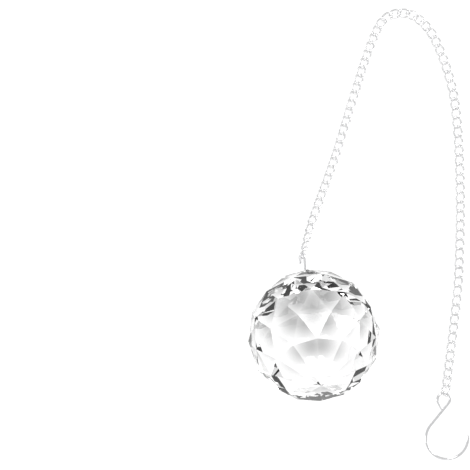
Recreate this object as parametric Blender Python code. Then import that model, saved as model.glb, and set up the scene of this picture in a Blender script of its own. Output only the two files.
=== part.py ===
"""Crystal suncatcher laid out on a table.

A solid faceted glass ball, a wire pin set in the ball's pole, a curb chain and an S hook.
Lengths are in millimetres, and MM turns them into Blender's metres when a mesh is made.
+Z is up, the table top is at z = 0, and the origin is under the middle of the whole.
"""
import math

import bmesh
import bpy
from mathutils import Matrix, Vector

MM = 0.001
GAP = 0.3                       # round the pin in its hole

# Ball: a pole, five rings of corners and a pole, all on one sphere
BALL_DIAMETER = 50.0
FACETS_AROUND = 12
RING_COUNT = 5
RING_STEP = 22.5                # degrees from one ring to the next
BALL_X, BALL_Y = -19.15, -38.15
BALL_TILT = 43.1                # degrees that the free pole leans from straight up
BALL_HEADING = -84.9            # degrees from +X in which it leans
BALL_SPIN = 0.7                 # degrees about the ball's own axis
FLAT_DEPTH = 0.55               # ground off the lowest corner, so that the ball lies still

# Pin: a bent wire set in the ball's other pole, with an open hook at its far end
PIN_WIRE = 1.4
PIN_SET_DEPTH = 4.0             # how far the wire goes into the ball
PIN_BEND_RADIUS = 3.0
PIN_TURN_X, PIN_TURN_Y = -21.3, -9.2    # where the level leg ends and the hook's turn begins
PIN_HOOK_SPAN = 1.9             # from leg to leg, seen from above
PIN_HOOK_DROP = 2.2             # from leg to leg, in height
PIN_HOOK_TAIL = 2.4             # length of the short leg

# Chain: twisted curb links of round wire
LINK_WIRE = 0.85
LINK_LENGTH = 5.5
LINK_WIDTH = 3.95
LINK_FULLNESS = 2.6             # 2 makes the outline an ellipse, and more makes it squarer
LINK_TWIST = 45.0               # degrees that each end turns out of the middle's plane
LINK_POINTS = 10
LINK_SIDES = 5
PIN_END_ROLL = 68.0             # degrees that the link in the pin's hook rolls over
PIN_END_LINKS = 6               # links over which that roll dies away
HOOK_END_ROLL = 24.0            # degrees that the link in the S hook rolls over
HOOK_END_LINKS = 5

# The first links and the last ones are solids of their own. Between them the chain is pulled
# straighter: there the links touch two by two, and each touching pair is one solid.
LINK_COUNT = 75
SINGLES_FIRST = 34
PAIR_COUNT = 18
SLACK_PITCH = 3.438             # from middle to middle where two links have play
TOUCHING_PITCH = 4.0            # inside a pair

# Middle line of the chain, from the pin's hook to the S hook
CHAIN_ROUTE = [
    (-22.4, -9.45), (-21.4, -4.8), (-19.0, 3.5), (-14.9, 15.0), (-10.8, 26.4), (-7.3, 37.1),
    (-3.8, 48.8), (-0.4, 59.6), (3.0, 70.3), (6.3, 78.8), (8.7, 83.4), (12.0, 86.6),
    (16.3, 87.9), (21.3, 87.1), (25.4, 84.2), (29.0, 79.9), (32.0, 74.0), (35.3, 65.2),
    (37.9, 54.8), (39.4, 42.0), (40.2, 28.0), (40.5, 12.0), (40.3, -3.0), (39.7, -18.8),
    (38.3, -33.0), (36.5, -48.0), (34.9, -60.5), (34.3, -66.4),
]

# S hook: one wire, with a small closed loop, a straight middle and a big open bend
HOOK_WIRE = 1.15
LOOP_X, LOOP_Y = 33.85, -65.45
LOOP_RADIUS = 2.6
LOOP_START = 210.0              # degrees round the loop where its straight closed end begins
LOOP_TAIL = 2.85                # length of that end, which all but meets the middle
LOOP_TILT = 14.0                # degrees that the loop tips down to its right
BEND_X, BEND_Y = 35.25, -80.95
BEND_RADIUS = 8.35
BEND_END = 8.0                  # degrees round the bend where its open tip is
HOOK_LIFT = 0.9                 # how much higher the loop lies, on the last link


def clear_scene():
    for obj in list(bpy.data.objects):
        bpy.data.objects.remove(obj)


def new_collection(name):
    collection = bpy.data.collections.new(name)
    bpy.context.scene.collection.children.link(collection)
    return collection


def new_material(name, colour, roughness, metallic=0.0, transmission=0.0, ior=1.5):
    material = bpy.data.materials.new(name)
    material.use_nodes = True
    shader = material.node_tree.nodes["Principled BSDF"]
    shader.inputs["Base Color"].default_value = (*colour, 1.0)
    shader.inputs["Roughness"].default_value = roughness
    shader.inputs["Metallic"].default_value = metallic
    shader.inputs["Transmission Weight"].default_value = transmission
    shader.inputs["IOR"].default_value = ior
    return material


def add_object(name, data, collection, parent, material=None):
    obj = bpy.data.objects.new(name, data)
    collection.objects.link(obj)
    obj.parent = parent
    if material:
        data.materials.append(material)
    return obj


def make_cutter(obj, cutters):
    """Move an object among the cutters and show it as wires only."""
    for collection in list(obj.users_collection):
        collection.objects.unlink(obj)
    cutters.objects.link(obj)
    obj.hide_render = True
    obj.display_type = "WIRE"


def add_boolean(obj, operation, tool):
    modifier = obj.modifiers.new(operation.title(), "BOOLEAN")
    modifier.operation = operation
    modifier.solver = "EXACT"
    modifier.object = tool


def wire_curve(name, points, diameter, rounding, closed=False):
    """A round wire along points in millimetres, as curve data."""
    curve = bpy.data.curves.new(name, "CURVE")
    curve.dimensions = "3D"
    curve.bevel_depth = diameter / 2 * MM
    curve.bevel_resolution = rounding
    curve.use_fill_caps = not closed
    spline = curve.splines.new("POLY")
    spline.points.add(len(points) - 1)
    for spline_point, point in zip(spline.points, points):
        spline_point.co = (*(Vector(point) * MM), 1.0)
    spline.use_cyclic_u = closed
    return curve


def mesh_of_curve(obj):
    """Put a mesh object of the same shape, with its caps welded, in a curve object's place."""
    depsgraph = bpy.context.evaluated_depsgraph_get()
    mesh = bpy.data.meshes.new_from_object(obj.evaluated_get(depsgraph))
    shape = bmesh.new()
    shape.from_mesh(mesh)
    bmesh.ops.remove_doubles(shape, verts=shape.verts, dist=0.001 * MM)
    shape.to_mesh(mesh)
    shape.free()
    mesh.shade_smooth()
    solid = bpy.data.objects.new(obj.name, mesh)
    for collection in obj.users_collection:
        collection.objects.link(solid)
    solid.parent = obj.parent
    solid.matrix_world = obj.matrix_world.copy()
    name = obj.name
    bpy.data.objects.remove(obj)
    solid.name = name
    return solid


def arc(centre, radius, start, end, steps):
    """Points in the table's plane on an arc, with angles in degrees from +X."""
    angles = [math.radians(start + (end - start) * i / steps) for i in range(steps + 1)]
    return [Vector((centre[0] + radius * math.cos(a), centre[1] + radius * math.sin(a), 0))
            for a in angles]


def bend_corner(before, corner, after, radius, steps):
    """Points of a round bend that takes the place of a corner."""
    back = (before - corner).normalized()
    ahead = (after - corner).normalized()
    half = back.angle(ahead) / 2
    centre = corner + (back + ahead).normalized() * radius / math.sin(half)
    first = corner + back * radius / math.tan(half) - centre
    last = corner + ahead * radius / math.tan(half) - centre
    return [centre + radius * first.slerp(last, i / steps) for i in range(steps + 1)]


def ball_rotation():
    spin = Matrix.Rotation(math.radians(BALL_SPIN), 3, "Z")
    tilt = Matrix.Rotation(math.radians(BALL_TILT), 3, "Y")
    heading = Matrix.Rotation(math.radians(BALL_HEADING), 3, "Z")
    return heading @ tilt @ spin


def ball_corners():
    """The ball's corners about its own centre: two poles, and rings that stand half a facet on."""
    radius = BALL_DIAMETER / 2
    corners = [Vector((0, 0, radius)), Vector((0, 0, -radius))]
    first_ring = 90 - RING_STEP * (RING_COUNT - 1) / 2
    for ring in range(RING_COUNT):
        from_pole = math.radians(first_ring + RING_STEP * ring)
        for facet in range(FACETS_AROUND):
            around = math.tau * (facet + 0.5 * (ring % 2)) / FACETS_AROUND
            corners.append(radius * Vector((math.sin(from_pole) * math.cos(around),
                                            math.sin(from_pole) * math.sin(around),
                                            math.cos(from_pole))))
    return corners


def ball_centre():
    """The ball's centre, at the height that leaves its ground flat on the table."""
    lowest = min((ball_rotation() @ corner).z for corner in ball_corners())
    return Vector((BALL_X, BALL_Y, -lowest - FLAT_DEPTH))


def build_ball(parts, cutters, parent, glass):
    shape = bmesh.new()
    for corner in ball_corners():
        shape.verts.new(corner * MM)
    bmesh.ops.convex_hull(shape, input=shape.verts)
    bmesh.ops.recalc_face_normals(shape, faces=shape.faces)
    mesh = bpy.data.meshes.new("crystal_ball")
    shape.to_mesh(mesh)
    shape.free()
    ball = add_object("crystal_ball", mesh, parts, parent, glass)
    ball.location = ball_centre() * MM
    ball.rotation_euler = ball_rotation().to_euler()

    bpy.ops.mesh.primitive_cube_add(size=BALL_DIAMETER * MM)
    table = bpy.context.object
    table.name = "flat_cutter"
    table.location = (BALL_X * MM, BALL_Y * MM, -BALL_DIAMETER / 2 * MM)
    make_cutter(table, cutters)
    add_boolean(ball, "DIFFERENCE", table)

    hole_depth = PIN_SET_DEPTH + GAP
    bpy.ops.mesh.primitive_cylinder_add(
        vertices=16, radius=(PIN_WIRE / 2 + GAP) * MM, depth=2 * hole_depth * MM)
    drill = bpy.context.object
    drill.name = "pin_hole_cutter"
    pole = Vector((0, 0, -BALL_DIAMETER / 2))
    drill.location = (ball_centre() + ball_rotation() @ pole) * MM
    drill.rotation_euler = ball_rotation().to_euler()
    make_cutter(drill, cutters)
    add_boolean(ball, "DIFFERENCE", drill)


def pin_route():
    """The pin's wire from inside the ball to the tip of its open hook."""
    axis = ball_rotation() @ Vector((0, 0, -1))
    pole = ball_centre() + axis * BALL_DIAMETER / 2
    low = PIN_WIRE / 2
    high = low + PIN_HOOK_DROP
    inner_end = pole - axis * PIN_SET_DEPTH
    level_corner = pole + axis * (pole.z - high) / -axis.z
    turn_radius = math.hypot(PIN_HOOK_SPAN, PIN_HOOK_DROP) / 2
    long_leg = Vector((PIN_TURN_X, PIN_TURN_Y, high))
    short_leg = Vector((PIN_TURN_X - PIN_HOOK_SPAN, PIN_TURN_Y, low))
    ahead = Vector((0, turn_radius, 0))
    tip = short_leg - Vector((0, PIN_HOOK_TAIL, 0))
    route = [inner_end]
    route += bend_corner(inner_end, level_corner, long_leg, PIN_BEND_RADIUS, 4)
    route += bend_corner(long_leg, long_leg + ahead, short_leg + ahead, turn_radius, 4)
    route += bend_corner(long_leg + ahead, short_leg + ahead, short_leg, turn_radius, 4)[1:]
    route.append(tip)
    return route


def build_pin(parts, parent, steel):
    curve = wire_curve("wire_pin", pin_route(), PIN_WIRE, 2)
    pin = add_object("wire_pin", curve, parts, parent, steel)
    mesh_of_curve(pin)


def smooth_route(points, steps=24):
    """A smooth curve through the given points, as many short straight steps."""
    ends = [2 * points[0] - points[1]] + points + [2 * points[-1] - points[-2]]
    dense = []
    for before, start, end, after in zip(ends, ends[1:], ends[2:], ends[3:]):
        for i in range(steps):
            t = i / steps
            dense.append(0.5 * (2 * start + (end - before) * t
                                + (2 * before - 5 * start + 4 * end - after) * t ** 2
                                + (3 * start - before - 3 * end + after) * t ** 3))
    return dense + [points[-1]]


def starts_pair(index):
    place = index - SINGLES_FIRST
    return 0 <= place < 2 * PAIR_COUNT and place % 2 == 0


def link_pitch(index):
    """Distance along the chain from one link's middle to the next link's."""
    return TOUCHING_PITCH if starts_pair(index) else SLACK_PITCH


def link_roll(index):
    """Degrees that a link rolls about the chain's line."""
    at_pin = max(0, 1 - index / PIN_END_LINKS)
    at_hook = max(0, 1 - (LINK_COUNT - 1 - index) / HOOK_END_LINKS)
    return PIN_END_ROLL * at_pin + HOOK_END_ROLL * at_hook


def signed_power(value, power):
    return math.copysign(abs(value) ** power, value)


def link_outline(roll):
    """The middle line of a link's wire about the link's own middle, with +X along the chain."""
    half_length = (LINK_LENGTH - LINK_WIRE) / 2
    half_width = (LINK_WIDTH - LINK_WIRE) / 2
    outline = []
    for i in range(LINK_POINTS):
        around = math.tau * i / LINK_POINTS
        along = signed_power(math.cos(around), 2 / LINK_FULLNESS)
        side = half_width * signed_power(math.sin(around), 2 / LINK_FULLNESS)
        turn = math.radians(roll + LINK_TWIST * along)
        outline.append((half_length * along, side * math.cos(turn), side * math.sin(turn)))
    return outline


def add_section(cutters):
    """The outline of the links' wire, a guide that runs clockwise to face the wire outwards."""
    guide = bpy.data.curves.new("link_section", "CURVE")
    spline = guide.splines.new("POLY")
    spline.points.add(LINK_SIDES - 1)
    for i, point in enumerate(spline.points):
        around = -math.tau * i / LINK_SIDES
        x, y = LINK_WIRE / 2 * math.cos(around), LINK_WIRE / 2 * math.sin(around)
        point.co = (x * MM, y * MM, 0, 1)
    spline.use_cyclic_u = True
    section = bpy.data.objects.new("link_section", guide)
    make_cutter(section, cutters)
    return section


def point_on(route, distance):
    """The point that lies a distance along a route of short straight steps."""
    for start, end in zip(route, route[1:]):
        step = (end - start).length
        if distance <= step:
            return start.lerp(end, distance / step)
        distance -= step
    return route[-1]


def add_link(name, index, along, route, section, parts, parent, silver):
    """One link at a distance along the route, at the height where it just lies on the table."""
    curve = wire_curve(name, link_outline(link_roll(index)), LINK_WIRE, 0, closed=True)
    curve.bevel_mode = "OBJECT"
    curve.bevel_object = section
    link = add_object(name, curve, parts, parent, silver)
    half = (LINK_LENGTH - LINK_WIRE) / 2
    ahead = point_on(route, along + half) - point_on(route, along - half)
    link.rotation_euler = (0, 0, math.atan2(ahead.y, ahead.x))
    bpy.context.view_layer.update()
    evaluated = link.evaluated_get(bpy.context.evaluated_depsgraph_get())
    lowest = min(vertex.co.z for vertex in evaluated.to_mesh().vertices)
    evaluated.to_mesh_clear()
    middle = point_on(route, along)
    link.location = (middle.x * MM, middle.y * MM, -lowest)
    bpy.context.view_layer.update()
    return link


def build_chain(parts, cutters, parent, silver):
    section = add_section(cutters)
    route = smooth_route([Vector((x, y, 0)) for x, y in CHAIN_ROUTE])
    along = (LINK_LENGTH - LINK_WIRE) / 2
    first_of_pair = None
    for index in range(LINK_COUNT):
        name = f"chain_link_{index + 1:02d}"
        if starts_pair(index):
            name = f"chain_links_{index + 1:02d}_{index + 2:02d}"
        link = add_link(name, index, along, route, section, parts, parent, silver)
        along += link_pitch(index)
        if starts_pair(index):
            first_of_pair = mesh_of_curve(link)
        elif starts_pair(index - 1):
            second = mesh_of_curve(link)
            make_cutter(second, cutters)
            add_boolean(first_of_pair, "UNION", second)


def hook_route():
    """The S hook's wire, which rises from the bend to the tilted loop."""
    loop, bend = Vector((LOOP_X, LOOP_Y, 0)), Vector((BEND_X, BEND_Y, 0))
    apart = bend - loop
    # The straight middle touches the loop on its right and the bend on its left
    cross = math.degrees(math.acos((LOOP_RADIUS + BEND_RADIUS) / apart.length))
    leave = math.degrees(math.atan2(apart.y, apart.x)) + cross
    loop_points = arc(loop, LOOP_RADIUS, LOOP_START, leave, 14)
    bend_points = arc(bend, BEND_RADIUS, leave + 180, 360 + BEND_END, 14)
    tail_angle = math.radians(LOOP_START)
    tail_way = Vector((-math.sin(tail_angle), math.cos(tail_angle), 0))
    loop_points.insert(0, loop_points[0] + tail_way * LOOP_TAIL)
    for point in loop_points:
        point.z = (LOOP_X - point.x) * math.tan(math.radians(LOOP_TILT))
    route = loop_points + bend_points
    lowest_y = BEND_Y - BEND_RADIUS
    rise = HOOK_LIFT / (LOOP_Y + LOOP_RADIUS - lowest_y)
    for point in route:
        point.z += HOOK_WIRE / 2 + (point.y - lowest_y) * rise
    return route


def build_hook(parts, parent, steel):
    curve = wire_curve("s_hook", hook_route(), HOOK_WIRE, 2)
    mesh_of_curve(add_object("s_hook", curve, parts, parent, steel))


def build():
    clear_scene()
    parts = new_collection("crystal_suncatcher")
    cutters = new_collection("cutters")
    glass = new_material("clear_crystal", (0.98, 0.99, 1.0), 0.0, transmission=1.0, ior=1.52)
    silver = new_material("silver_plate", (0.86, 0.86, 0.87), 0.16, metallic=1.0)
    steel = new_material("bright_steel_wire", (0.80, 0.80, 0.81), 0.12, metallic=1.0)
    root = add_object("suncatcher", None, parts, None)
    build_ball(parts, cutters, root, glass)
    build_pin(parts, root, steel)
    build_chain(parts, cutters, root, silver)
    build_hook(parts, root, steel)


build()
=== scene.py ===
"""Crystal suncatcher, laid out on a pale floor and seen from straight above."""

import math

import bmesh
import bpy
from mathutils import Matrix, Vector


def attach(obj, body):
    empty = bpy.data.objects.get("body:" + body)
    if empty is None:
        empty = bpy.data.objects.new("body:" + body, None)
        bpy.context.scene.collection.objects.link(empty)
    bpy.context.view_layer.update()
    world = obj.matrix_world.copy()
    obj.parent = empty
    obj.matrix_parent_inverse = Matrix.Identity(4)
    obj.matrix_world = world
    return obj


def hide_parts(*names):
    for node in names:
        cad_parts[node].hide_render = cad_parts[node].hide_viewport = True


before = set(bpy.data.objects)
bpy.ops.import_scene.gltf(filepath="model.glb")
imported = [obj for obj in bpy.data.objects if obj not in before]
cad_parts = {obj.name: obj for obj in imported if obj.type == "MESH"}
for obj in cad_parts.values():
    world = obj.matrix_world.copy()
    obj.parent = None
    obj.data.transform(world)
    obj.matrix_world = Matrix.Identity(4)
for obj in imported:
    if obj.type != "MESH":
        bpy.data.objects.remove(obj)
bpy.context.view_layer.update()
MM = 0.001
scene = bpy.context.scene

# The photograph's camera looks straight down; its up is +Y
CAMERA_X, CAMERA_Y, CAMERA_Z = -49.0, -0.25, 499.5
LENS = 96.1                     # on a 36 mm sensor

# The same named values as the part's own
BALL_DIAMETER = 50.0
FACETS_AROUND = 12
RING_COUNT = 5
RING_STEP = 22.5
BALL_X, BALL_Y = -19.15, -38.15
BALL_TILT = 43.1
BALL_HEADING = -84.9
BALL_SPIN = 0.7
FLAT_DEPTH = 0.55
GAP = 0.3

PIN_WIRE = 1.4
PIN_SET_DEPTH = 4.0
PIN_BEND_RADIUS = 3.0
PIN_TURN_X, PIN_TURN_Y = -21.3, -9.2
PIN_HOOK_SPAN = 1.9
PIN_HOOK_DROP = 2.2
PIN_HOOK_TAIL = 2.4

LINK_WIRE = 0.85
LINK_LENGTH = 5.5
LINK_WIDTH = 3.95
LINK_FULLNESS = 2.6
LINK_TWIST = 45.0
LINK_POINTS = 36
LINK_SIDES = 10
PIN_END_ROLL = 68.0
PIN_END_LINKS = 6
HOOK_END_ROLL = 24.0
HOOK_END_LINKS = 5
LINK_COUNT = 75
SINGLES_FIRST = 34
PAIR_COUNT = 18
SLACK_PITCH = 3.438
TAUT_PITCH = 3.719              # the mean of the pitches inside a pair and between two pairs
CHAIN_ROUTE = [
    (-22.4, -9.45), (-21.4, -4.8), (-19.0, 3.5), (-14.9, 15.0), (-10.8, 26.4), (-7.3, 37.1),
    (-3.8, 48.8), (-0.4, 59.6), (3.0, 70.3), (6.3, 78.8), (8.7, 83.4), (12.0, 86.6),
    (16.3, 87.9), (21.3, 87.1), (25.4, 84.2), (29.0, 79.9), (32.0, 74.0), (35.3, 65.2),
    (37.9, 54.8), (39.4, 42.0), (40.2, 28.0), (40.5, 12.0), (40.3, -3.0), (39.7, -18.8),
    (38.3, -33.0), (36.5, -48.0), (34.9, -60.5), (34.3, -66.4),
]

HOOK_WIRE = 1.15
LOOP_X, LOOP_Y = 33.85, -65.45
LOOP_RADIUS = 2.6
LOOP_START = 210.0
LOOP_TAIL = 2.85
LOOP_TILT = 14.0
BEND_X, BEND_Y = 35.25, -80.95
BEND_RADIUS = 8.35
BEND_END = 8.0
HOOK_LIFT = 0.9

# Soft lights in the sky: azimuth from +X and elevation in degrees, half width in degrees, strength
SKY_BASE = 0.75
SKY_HORIZON = 0.35
SKY_SPOTS = [
    (23, 32, 16, 9.0),
    (92, 58, 13, 7.0),
    (-165, 20, 14, 3.5),
    (3, 14, 12, 2.5),
    (-80, 43, 16, 0.6),
]
# Painted shadow on the floor under the ball: offset from the ball's middle, radius and depth
PAINTED_SHADOW_X, PAINTED_SHADOW_Y = 1.0, 2.0
PAINTED_SHADOW_RADIUS = 9.0
PAINTED_SHADOW_DEPTH = 0.55


class Nodes:
    """A short way to build a node tree."""

    def __init__(self, tree):
        self.tree = tree

    def add(self, kind, inputs=(), **settings):
        node = self.tree.nodes.new(kind)
        for key, value in settings.items():
            setattr(node, key, value)
        for key, value in dict(inputs).items():
            socket = node.inputs[key]
            if isinstance(value, bpy.types.NodeSocket):
                self.tree.links.new(value, socket)
            else:
                socket.default_value = value
        return node

    def math(self, operation, first, second=0.0):
        node = self.add("ShaderNodeMath", {0: first, 1: second}, operation=operation)
        return node.outputs[0]


def new_material(name):
    material = bpy.data.materials.new(name)
    material.use_nodes = True
    nodes = Nodes(material.node_tree)
    return material, nodes, material.node_tree.nodes["Principled BSDF"]


def finish_piece(obj, slot, *replaced):
    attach(obj, "root")
    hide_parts(*replaced)


def make_camera():
    data = bpy.data.cameras.new("camera")
    data.sensor_width = 36.0
    data.lens = LENS
    data.clip_start = 0.01
    camera = bpy.data.objects.new("camera", data)
    scene.collection.objects.link(camera)
    camera.location = (CAMERA_X * MM, CAMERA_Y * MM, CAMERA_Z * MM)
    scene.camera = camera


def direction(azimuth, elevation):
    a, e = math.radians(azimuth), math.radians(elevation)
    return Vector((math.cos(a) * math.cos(e), math.sin(a) * math.cos(e), math.sin(e)))


def make_sky():
    world = bpy.data.worlds.new("soft_studio")
    scene.world = world
    world.use_nodes = True
    tree = world.node_tree
    tree.nodes.clear()
    nodes = Nodes(tree)
    way = nodes.add("ShaderNodeTexCoord").outputs["Generated"]
    height = nodes.add("ShaderNodeSeparateXYZ", {0: way}).outputs["Z"]
    total = nodes.add("ShaderNodeMapRange", {
        "Value": height, "From Min": 0.05, "From Max": 0.30,
        "To Min": SKY_HORIZON, "To Max": SKY_BASE}, interpolation_type="SMOOTHSTEP").outputs[0]
    for azimuth, elevation, width, strength in SKY_SPOTS:
        toward = nodes.add("ShaderNodeVectorMath", {0: way, 1: direction(azimuth, elevation)},
                           operation="DOT_PRODUCT").outputs["Value"]
        light = nodes.add("ShaderNodeMapRange", {
            "Value": toward, "From Min": math.cos(math.radians(width)),
            "From Max": math.cos(math.radians(width * 0.5)), "To Min": 0.0, "To Max": strength},
            interpolation_type="SMOOTHSTEP").outputs[0]
        total = nodes.math("ADD", total, light)
    seen = nodes.add("ShaderNodeLightPath").outputs["Is Camera Ray"]
    strength = nodes.add("ShaderNodeMix", {0: seen, 2: total, 3: 1.0}, data_type="FLOAT").outputs[0]
    back = nodes.add("ShaderNodeBackground", {"Color": (1, 1, 1, 1), "Strength": strength})
    out = nodes.add("ShaderNodeOutputWorld")
    tree.links.new(back.outputs[0], out.inputs["Surface"])
    scene.view_settings.view_transform = "Standard"


def make_floor():
    bpy.ops.mesh.primitive_plane_add(size=6.0)
    floor = bpy.context.object
    floor.name = "floor"
    material = bpy.data.materials.new("pale_floor")
    material.use_nodes = True
    tree = material.node_tree
    tree.nodes.clear()
    nodes = Nodes(tree)
    place = nodes.add("ShaderNodeTexCoord").outputs["Object"]
    # Painted shadow: the floor's glow is darkened around a point under the ball
    middle = Vector((BALL_X + PAINTED_SHADOW_X, BALL_Y + PAINTED_SHADOW_Y, 0)) * MM
    away = nodes.add("ShaderNodeVectorMath", {0: place, 1: middle}, operation="DISTANCE").outputs["Value"]
    bright = nodes.add("ShaderNodeMapRange", {
        "Value": away, "From Min": 0.0, "From Max": PAINTED_SHADOW_RADIUS * MM,
        "To Min": 1 - PAINTED_SHADOW_DEPTH, "To Max": 1.0}, interpolation_type="SMOOTHSTEP").outputs[0]
    glow = nodes.add("ShaderNodeEmission", {"Color": (1, 1, 1, 1), "Strength": bright})
    matt = nodes.add("ShaderNodeBsdfDiffuse", {"Color": (0.12, 0.12, 0.12, 1)})
    both = nodes.add("ShaderNodeAddShader", {0: glow.outputs[0], 1: matt.outputs[0]})
    out = nodes.add("ShaderNodeOutputMaterial")
    tree.links.new(both.outputs[0], out.inputs["Surface"])
    floor.data.materials.append(material)


def crystal_material():
    material, nodes, shader = new_material("clear_crystal")
    shader.inputs["Base Color"].default_value = (1.0, 1.0, 1.0, 1.0)
    shader.inputs["Roughness"].default_value = 0.0
    shader.inputs["Transmission Weight"].default_value = 1.0
    shader.inputs["IOR"].default_value = 1.52
    place = nodes.add("ShaderNodeTexCoord").outputs["Object"]
    polish = nodes.add("ShaderNodeTexNoise", {"Vector": place, "Scale": 180.0, "Detail": 1.0})
    bump = nodes.add("ShaderNodeBump", {"Height": polish.outputs["Fac"], "Strength": 0.02,
                                        "Distance": 0.0002})
    nodes.tree.links.new(bump.outputs[0], shader.inputs["Normal"])
    return material


def silver_material(name, bright, dull, rough_low, rough_high, grain):
    material, nodes, shader = new_material(name)
    shader.inputs["Metallic"].default_value = 1.0
    place = nodes.add("ShaderNodeTexCoord").outputs["Object"]
    cloud = nodes.add("ShaderNodeTexNoise", {"Vector": place, "Scale": 400.0, "Detail": 3.0})
    colour = nodes.add("ShaderNodeMix", {0: cloud.outputs["Fac"], 6: bright, 7: dull}, data_type="RGBA")
    nodes.tree.links.new(colour.outputs[2], shader.inputs["Base Color"])
    rough = nodes.add("ShaderNodeMapRange", {
        "Value": cloud.outputs["Fac"], "From Min": 0.3, "From Max": 0.7,
        "To Min": rough_low, "To Max": rough_high})
    nodes.tree.links.new(rough.outputs[0], shader.inputs["Roughness"])
    fine = nodes.add("ShaderNodeTexNoise", {"Vector": place, "Scale": 2500.0, "Detail": 2.0})
    bump = nodes.add("ShaderNodeBump", {"Height": fine.outputs["Fac"], "Strength": grain,
                                        "Distance": 0.00005})
    nodes.tree.links.new(bump.outputs[0], shader.inputs["Normal"])
    return material


def ball_rotation():
    spin = Matrix.Rotation(math.radians(BALL_SPIN), 3, "Z")
    tilt = Matrix.Rotation(math.radians(BALL_TILT), 3, "Y")
    heading = Matrix.Rotation(math.radians(BALL_HEADING), 3, "Z")
    return heading @ tilt @ spin


def ball_corners():
    radius = BALL_DIAMETER / 2
    corners = [Vector((0, 0, radius)), Vector((0, 0, -radius))]
    first_ring = 90 - RING_STEP * (RING_COUNT - 1) / 2
    for ring in range(RING_COUNT):
        from_pole = math.radians(first_ring + RING_STEP * ring)
        for facet in range(FACETS_AROUND):
            around = math.tau * (facet + 0.5 * (ring % 2)) / FACETS_AROUND
            corners.append(radius * Vector((math.sin(from_pole) * math.cos(around),
                                            math.sin(from_pole) * math.sin(around),
                                            math.cos(from_pole))))
    return corners


def ball_centre():
    lowest = min((ball_rotation() @ corner).z for corner in ball_corners())
    return Vector((BALL_X, BALL_Y, -lowest - FLAT_DEPTH))


def bend_corner(before, corner, after, radius, steps):
    """Points of a round bend that takes the place of a corner."""
    back = (before - corner).normalized()
    ahead = (after - corner).normalized()
    half = back.angle(ahead) / 2
    centre = corner + (back + ahead).normalized() * radius / math.sin(half)
    first = corner + back * radius / math.tan(half) - centre
    last = corner + ahead * radius / math.tan(half) - centre
    return [centre + radius * first.slerp(last, i / steps) for i in range(steps + 1)]


def pin_route():
    axis = ball_rotation() @ Vector((0, 0, -1))
    pole = ball_centre() + axis * BALL_DIAMETER / 2
    low = PIN_WIRE / 2
    high = low + PIN_HOOK_DROP
    inner_end = pole - axis * PIN_SET_DEPTH
    level_corner = pole + axis * (pole.z - high) / -axis.z
    turn_radius = math.hypot(PIN_HOOK_SPAN, PIN_HOOK_DROP) / 2
    long_leg = Vector((PIN_TURN_X, PIN_TURN_Y, high))
    short_leg = Vector((PIN_TURN_X - PIN_HOOK_SPAN, PIN_TURN_Y, low))
    ahead = Vector((0, turn_radius, 0))
    tip = short_leg - Vector((0, PIN_HOOK_TAIL, 0))
    route = [inner_end]
    route += bend_corner(inner_end, level_corner, long_leg, PIN_BEND_RADIUS, 12)
    route += bend_corner(long_leg, long_leg + ahead, short_leg + ahead, turn_radius, 10)
    route += bend_corner(long_leg + ahead, short_leg + ahead, short_leg, turn_radius, 10)[1:]
    route.append(tip)
    return route


def arc(centre, radius, start, end, steps):
    angles = [math.radians(start + (end - start) * i / steps) for i in range(steps + 1)]
    return [Vector((centre[0] + radius * math.cos(a), centre[1] + radius * math.sin(a), 0))
            for a in angles]


def hook_route():
    """The S hook's wire, which rises from the bend to the tilted loop."""
    loop, bend = Vector((LOOP_X, LOOP_Y, 0)), Vector((BEND_X, BEND_Y, 0))
    apart = bend - loop
    cross = math.degrees(math.acos((LOOP_RADIUS + BEND_RADIUS) / apart.length))
    leave = math.degrees(math.atan2(apart.y, apart.x)) + cross
    loop_points = arc(loop, LOOP_RADIUS, LOOP_START, leave, 40)
    bend_points = arc(bend, BEND_RADIUS, leave + 180, 360 + BEND_END, 60)
    tail_angle = math.radians(LOOP_START)
    tail_way = Vector((-math.sin(tail_angle), math.cos(tail_angle), 0))
    loop_points.insert(0, loop_points[0] + tail_way * LOOP_TAIL)
    for point in loop_points:
        point.z = (LOOP_X - point.x) * math.tan(math.radians(LOOP_TILT))
    route = loop_points + bend_points
    lowest_y = BEND_Y - BEND_RADIUS
    rise = HOOK_LIFT / (LOOP_Y + LOOP_RADIUS - lowest_y)
    for point in route:
        point.z += HOOK_WIRE / 2 + (point.y - lowest_y) * rise
    return route


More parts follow.
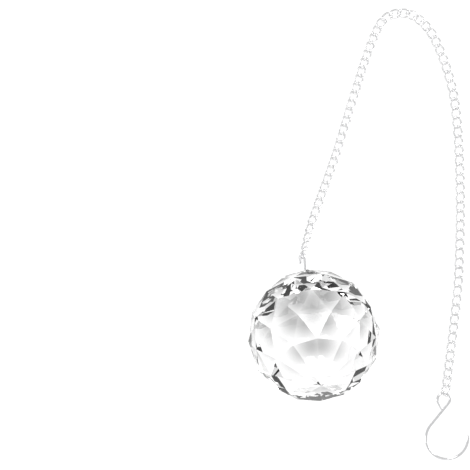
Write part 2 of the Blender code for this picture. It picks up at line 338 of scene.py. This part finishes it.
def tube_mesh(shape, points, diameter, sides, closed=False, tip=0.0):
    """Add a round wire along points in millimetres. tip is the length of its rounded ends."""
    count = len(points)
    tangents = []
    for i in range(count):
        if closed:
            before, after = points[i - 1], points[(i + 1) % count]
        else:
            before, after = points[max(i - 1, 0)], points[min(i + 1, count - 1)]
        tangents.append((after - before).normalized())
    side = tangents[0].orthogonal().normalized()
    sides_at = []
    for tangent in tangents:
        side = (side - tangent * side.dot(tangent)).normalized()
        sides_at.append(side)
    turn = 0.0
    if closed:
        last = (sides_at[-1] - tangents[0] * sides_at[-1].dot(tangents[0])).normalized()
        turn = last.angle(sides_at[0])
        if last.cross(sides_at[0]).dot(tangents[0]) < 0:
            turn = -turn
    rings = []
    radius = diameter / 2

    def ring(point, tangent, start, size, twist):
        second = tangent.cross(start)
        made = []
        for k in range(sides):
            around = math.tau * k / sides + twist
            offset = start * math.cos(around) + second * math.sin(around)
            made.append(shape.verts.new((point + offset * size) * MM))
        return made

    for i, point in enumerate(points):
        rings.append(ring(point, tangents[i], sides_at[i], radius, turn * i / count))
    if tip:
        for end, way in ((0, -1), (-1, 1)):
            steps = 4
            extra = []
            for step in range(1, steps + 1):
                lean = math.pi / 2 * step / steps
                place = points[end] + tangents[end] * way * tip * math.sin(lean)
                size = radius - tip * (1 - math.cos(lean))
                extra.append(ring(place, tangents[end], sides_at[end], size, 0))
            rings = extra[::-1] + rings if end == 0 else rings + extra
    pairs = list(zip(rings, rings[1:]))
    if closed:
        pairs.append((rings[-1], rings[0]))
    for first, second in pairs:
        for k in range(sides):
            n = (k + 1) % sides
            shape.faces.new((first[k], first[n], second[n], second[k]))
    if not closed:
        shape.faces.new(rings[0][::-1])
        shape.faces.new(rings[-1])


def mesh_object(name, shape, material, smooth=True):
    mesh = bpy.data.meshes.new(name)
    bmesh.ops.recalc_face_normals(shape, faces=shape.faces)
    shape.to_mesh(mesh)
    shape.free()
    if smooth:
        mesh.shade_smooth()
    mesh.materials.append(material)
    obj = bpy.data.objects.new(name, mesh)
    scene.collection.objects.link(obj)
    return obj


def make_ball(material):
    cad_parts["crystal_ball"].material_slots[0].material = material


def make_pin(material):
    shape = bmesh.new()
    tube_mesh(shape, pin_route(), PIN_WIRE, 20, tip=0.25)
    finish_piece(mesh_object("wire_pin_round", shape, material), "bright_steel_wire", "wire_pin")


def make_hook(material):
    shape = bmesh.new()
    tube_mesh(shape, hook_route(), HOOK_WIRE, 20, tip=0.25)
    finish_piece(mesh_object("s_hook_round", shape, material), "bright_steel_wire", "s_hook")


def smooth_route(points, steps=24):
    ends = [2 * points[0] - points[1]] + points + [2 * points[-1] - points[-2]]
    dense = []
    for before, start, end, after in zip(ends, ends[1:], ends[2:], ends[3:]):
        for i in range(steps):
            t = i / steps
            dense.append(0.5 * (2 * start + (end - before) * t
                                + (2 * before - 5 * start + 4 * end - after) * t ** 2
                                + (3 * start - before - 3 * end + after) * t ** 3))
    return dense + [points[-1]]


def point_on(route, distance):
    for start, end in zip(route, route[1:]):
        step = (end - start).length
        if distance <= step:
            return start.lerp(end, distance / step)
        distance -= step
    return route[-1]


def link_roll(index):
    at_pin = max(0, 1 - index / PIN_END_LINKS)
    at_hook = max(0, 1 - (LINK_COUNT - 1 - index) / HOOK_END_LINKS)
    return PIN_END_ROLL * at_pin + HOOK_END_ROLL * at_hook


def signed_power(value, power):
    return math.copysign(abs(value) ** power, value)


def link_outline(roll):
    half_length = (LINK_LENGTH - LINK_WIRE) / 2
    half_width = (LINK_WIDTH - LINK_WIRE) / 2
    outline = []
    for i in range(LINK_POINTS):
        around = math.tau * i / LINK_POINTS
        along = signed_power(math.cos(around), 2 / LINK_FULLNESS)
        side = half_width * signed_power(math.sin(around), 2 / LINK_FULLNESS)
        turn = math.radians(roll + LINK_TWIST * along)
        outline.append(Vector((half_length * along, side * math.cos(turn), side * math.sin(turn))))
    return outline


def make_chain(material):
    route = smooth_route([Vector((x, y, 0)) for x, y in CHAIN_ROUTE])
    half = (LINK_LENGTH - LINK_WIRE) / 2
    along = half
    shape = bmesh.new()
    for index in range(LINK_COUNT):
        outline = link_outline(link_roll(index))
        ahead = point_on(route, along + half) - point_on(route, along - half)
        heading = Matrix.Rotation(math.atan2(ahead.y, ahead.x), 3, "Z")
        middle = point_on(route, along)
        lift = LINK_WIRE / 2 - min(point.z for point in outline)
        points = [heading @ point + middle + Vector((0, 0, lift)) for point in outline]
        tube_mesh(shape, points, LINK_WIRE, LINK_SIDES, closed=True)
        paired = SINGLES_FIRST <= index < SINGLES_FIRST + 2 * PAIR_COUNT
        along += TAUT_PITCH if paired else SLACK_PITCH
    nodes = [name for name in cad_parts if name.startswith("chain_link")]
    finish_piece(mesh_object("curb_chain", shape, material), "silver_plate", *nodes)


make_camera()
make_sky()
make_floor()
make_ball(crystal_material())
make_pin(silver_material("bright_steel_wire", (0.88, 0.88, 0.89, 1), (0.74, 0.74, 0.75, 1), 0.06, 0.16, 0.1))
make_hook(silver_material("bright_steel_hook", (0.88, 0.88, 0.89, 1), (0.74, 0.74, 0.75, 1), 0.06, 0.16, 0.1))
make_chain(silver_material("silver_plate", (0.92, 0.92, 0.92, 1), (0.78, 0.78, 0.79, 1), 0.10, 0.22, 0.1))
